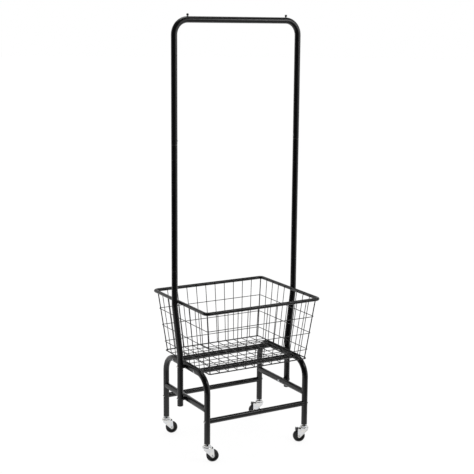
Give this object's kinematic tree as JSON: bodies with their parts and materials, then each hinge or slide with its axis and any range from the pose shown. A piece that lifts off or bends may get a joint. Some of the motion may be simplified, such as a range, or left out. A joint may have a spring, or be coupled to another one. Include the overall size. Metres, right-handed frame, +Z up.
{
  "type": "laundry cart",
  "caption": "Rolling laundry cart: wire basket with flared sides on a tube frame with swivel casters, under a tall hanging rack for clothes.",
  "frame": {"origin": "on the floor, under the middle of the frame", "axes": "+X along the cart's length, to the side whose casters have brakes; +Y across it, to the back; +Z up"},
  "size_m": [0.5966, 0.473, 1.7792],
  "materials": {
    "powder_coat": "semi-gloss black powder coat on steel tube",
    "basket_wire": "semi-gloss black powder coat on welded steel wire",
    "zinc_plate": "bright zinc-plated pressed steel",
    "zinc_fastener": "bright zinc-plated steel, turned and headed",
    "bare_steel": "drawn steel tube, hidden inside the poles",
    "ball_steel": "polished bearing balls",
    "black_plastic": "moulded black plastic, satin",
    "wheel_plastic": "moulded black plastic wheel, glossy tread"
  },
  "bodies": {
    "frame": {"side_frame_left": "powder_coat", "side_frame_right": "powder_coat", "side_rung_left": "powder_coat", "side_rung_right": "powder_coat", "pole_lower_left": "powder_coat", "pole_lower_right": "powder_coat", "pole_middle_left": "powder_coat", "pole_middle_right": "powder_coat", "pole_cap_left": "black_plastic", "pole_cap_right": "black_plastic", "hanger_stop_left": "black_plastic", "hanger_stop_right": "black_plastic", "lower_rail_front": "powder_coat", "lower_rail_back": "powder_coat", "basket_rail_front": "powder_coat", "basket_rail_back": "powder_coat", "hanging_bar": "powder_coat", "pole_saddles": "black_plastic", "pole_bolts": "zinc_fastener", "pole_nuts": "zinc_fastener", "joint_sleeves": "bare_steel", "joint_screws": "zinc_fastener", "rail_plugs": "black_plastic", "rail_bolts": "zinc_fastener", "leg_sockets": "black_plastic", "caster_front_left_stem": "zinc_plate", "caster_front_left_cup": "zinc_plate", "caster_front_right_stem": "zinc_plate", "caster_front_right_cup": "zinc_plate", "caster_back_left_stem": "zinc_plate", "caster_back_left_cup": "zinc_plate", "caster_back_right_stem": "zinc_plate", "caster_back_right_cup": "zinc_plate"},
    "basket": {"basket_rim": "basket_wire", "basket_wall_front": "basket_wire", "basket_wall_back": "basket_wire", "basket_wall_left": "basket_wire", "basket_wall_right": "basket_wire", "basket_corner_rods": "basket_wire", "basket_floor": "basket_wire"},
    "swivel_front_left": {"caster_front_left_fork": "zinc_plate", "caster_front_left_balls": "ball_steel", "caster_front_left_axle": "zinc_fastener"},
    "wheel_front_left": {"caster_front_left_wheel": "wheel_plastic"},
    "swivel_front_right": {"caster_front_right_fork": "zinc_plate", "caster_front_right_balls": "ball_steel", "caster_front_right_axle": "zinc_fastener", "caster_front_right_brake_pin": "zinc_fastener"},
    "wheel_front_right": {"caster_front_right_wheel": "wheel_plastic"},
    "brake_front_right": {"caster_front_right_brake_pedal": "black_plastic"},
    "swivel_back_left": {"caster_back_left_fork": "zinc_plate", "caster_back_left_balls": "ball_steel", "caster_back_left_axle": "zinc_fastener"},
    "wheel_back_left": {"caster_back_left_wheel": "wheel_plastic"},
    "swivel_back_right": {"caster_back_right_fork": "zinc_plate", "caster_back_right_balls": "ball_steel", "caster_back_right_axle": "zinc_fastener", "caster_back_right_brake_pin": "zinc_fastener"},
    "wheel_back_right": {"caster_back_right_wheel": "wheel_plastic"},
    "brake_back_right": {"caster_back_right_brake_pedal": "black_plastic"}
  },
  "joints": [
    {"name": "basket_lift", "type": "slide", "parent": "frame", "child": "basket", "axis": [0, 0, 1], "range_m": [0, 0.28]},
    {"name": "swivel_turn_front_left", "type": "hinge", "parent": "frame", "child": "swivel_front_left", "pos_m": [-0.234, -0.184, 0.06], "axis": [0, 0, 1], "continuous": true},
    {"name": "wheel_spin_front_left", "type": "hinge", "parent": "swivel_front_left", "child": "wheel_front_left", "pos_m": [-0.21333, -0.19152, 0.0252], "axis": [0.342, 0.9397, 0], "continuous": true},
    {"name": "swivel_turn_front_right", "type": "hinge", "parent": "frame", "child": "swivel_front_right", "pos_m": [0.234, -0.184, 0.06], "axis": [0, 0, 1], "continuous": true},
    {"name": "wheel_spin_front_right", "type": "hinge", "parent": "swivel_front_right", "child": "wheel_front_right", "pos_m": [0.21333, -0.17648, 0.0252], "axis": [-0.342, -0.9397, 0], "continuous": true},
    {"name": "brake_press_front_right", "type": "hinge", "parent": "swivel_front_right", "child": "brake_front_right", "pos_m": [0.21004, -0.17528, 0.056], "axis": [-0.342, -0.9397, 0], "range_deg": [0, 6]},
    {"name": "swivel_turn_back_left", "type": "hinge", "parent": "frame", "child": "swivel_back_left", "pos_m": [-0.234, 0.184, 0.06], "axis": [0, 0, 1], "continuous": true},
    {"name": "wheel_spin_back_left", "type": "hinge", "parent": "swivel_back_left", "child": "wheel_back_left", "pos_m": [-0.21333, 0.17648, 0.0252], "axis": [0.342, 0.9397, 0], "continuous": true},
    {"name": "swivel_turn_back_right", "type": "hinge", "parent": "frame", "child": "swivel_back_right", "pos_m": [0.234, 0.184, 0.06], "axis": [0, 0, 1], "continuous": true},
    {"name": "wheel_spin_back_right", "type": "hinge", "parent": "swivel_back_right", "child": "wheel_back_right", "pos_m": [0.21333, 0.19152, 0.0252], "axis": [-0.342, -0.9397, 0], "continuous": true},
    {"name": "brake_press_back_right", "type": "hinge", "parent": "swivel_back_right", "child": "brake_back_right", "pos_m": [0.21004, 0.19272, 0.056], "axis": [-0.342, -0.9397, 0], "range_deg": [0, 6]}
  ]
}
